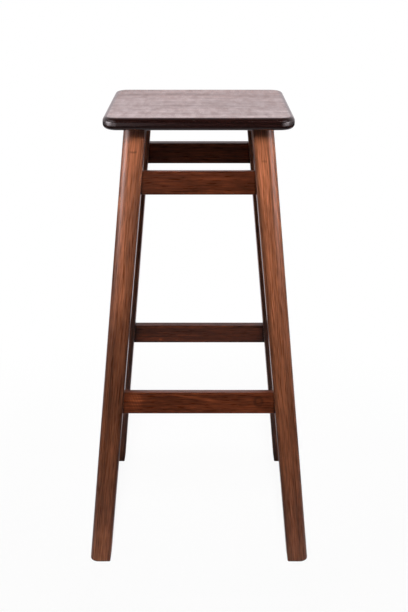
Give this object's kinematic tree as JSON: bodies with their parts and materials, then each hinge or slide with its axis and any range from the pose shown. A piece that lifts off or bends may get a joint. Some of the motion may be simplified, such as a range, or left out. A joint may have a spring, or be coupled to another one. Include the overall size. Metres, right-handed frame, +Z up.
{
  "type": "bar stool",
  "caption": "Tall backless bar stool in stained, varnished wood: flat square seat with rounded corners on splayed square legs, tied by tenoned rails and foot rungs.",
  "frame": {"origin": "on the floor, under the middle of the seat", "axes": "+Z up, the front faces -Y, +X to the right as seen from the front"},
  "size_m": [0.3878, 0.3878, 0.779],
  "materials": {
    "leg_wood": "brown stain under satin varnish, lengthwise grain",
    "rail_wood": "brown stain under satin varnish, lengthwise grain",
    "seat_wood": "dark brown stain under glossy varnish",
    "screw_steel": "plain steel"
  },
  "bodies": {
    "root": {"leg_front_left": "leg_wood", "leg_front_right": "leg_wood", "leg_back_left": "leg_wood", "leg_back_right": "leg_wood", "rail_front": "rail_wood", "rail_back": "rail_wood", "rung_front": "rail_wood", "rung_back": "rail_wood", "rung_left": "rail_wood", "rung_right": "rail_wood", "seat_rail_left": "rail_wood", "seat_rail_right": "rail_wood", "seat_board_front": "seat_wood", "seat_board_middle": "seat_wood", "seat_board_back": "seat_wood", "seat_screw_left_front": "screw_steel", "seat_screw_left_middle": "screw_steel", "seat_screw_left_back": "screw_steel", "seat_screw_right_front": "screw_steel", "seat_screw_right_middle": "screw_steel", "seat_screw_right_back": "screw_steel"}
  },
  "joints": []
}
